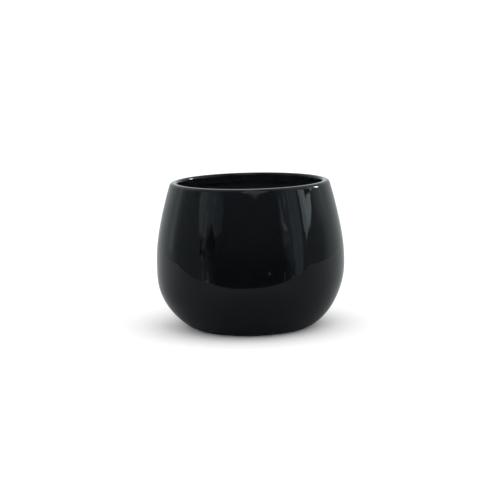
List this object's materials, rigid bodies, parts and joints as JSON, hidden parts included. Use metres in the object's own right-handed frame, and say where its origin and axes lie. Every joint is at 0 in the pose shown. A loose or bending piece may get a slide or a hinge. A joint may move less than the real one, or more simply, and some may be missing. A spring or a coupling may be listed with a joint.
{
  "type": "glazed clay pot",
  "caption": "Round-bellied pot in gloss black glaze, with a wide mouth, a thick, rounded lip and a bare clay foot ring.",
  "frame": {"origin": "centre of the foot ring's ground face, which is the middle of the bottom of the pot's box", "axes": "+Z is the pot's axis, up through the mouth; the pot is round, so +X and +Y are any two directions across it"},
  "size_m": [0.17, 0.17, 0.1319],
  "materials": {
    "bare_clay": "matte",
    "outer_glaze": "gloss",
    "inner_glaze": "gloss"
  },
  "bodies": {
    "root": {"foot_ring": "bare_clay", "lower_bowl": "bare_clay", "upper_wall": "bare_clay", "lip_coil": "bare_clay", "outer_glaze": "outer_glaze", "inner_glaze": "inner_glaze"}
  },
  "joints": []
}
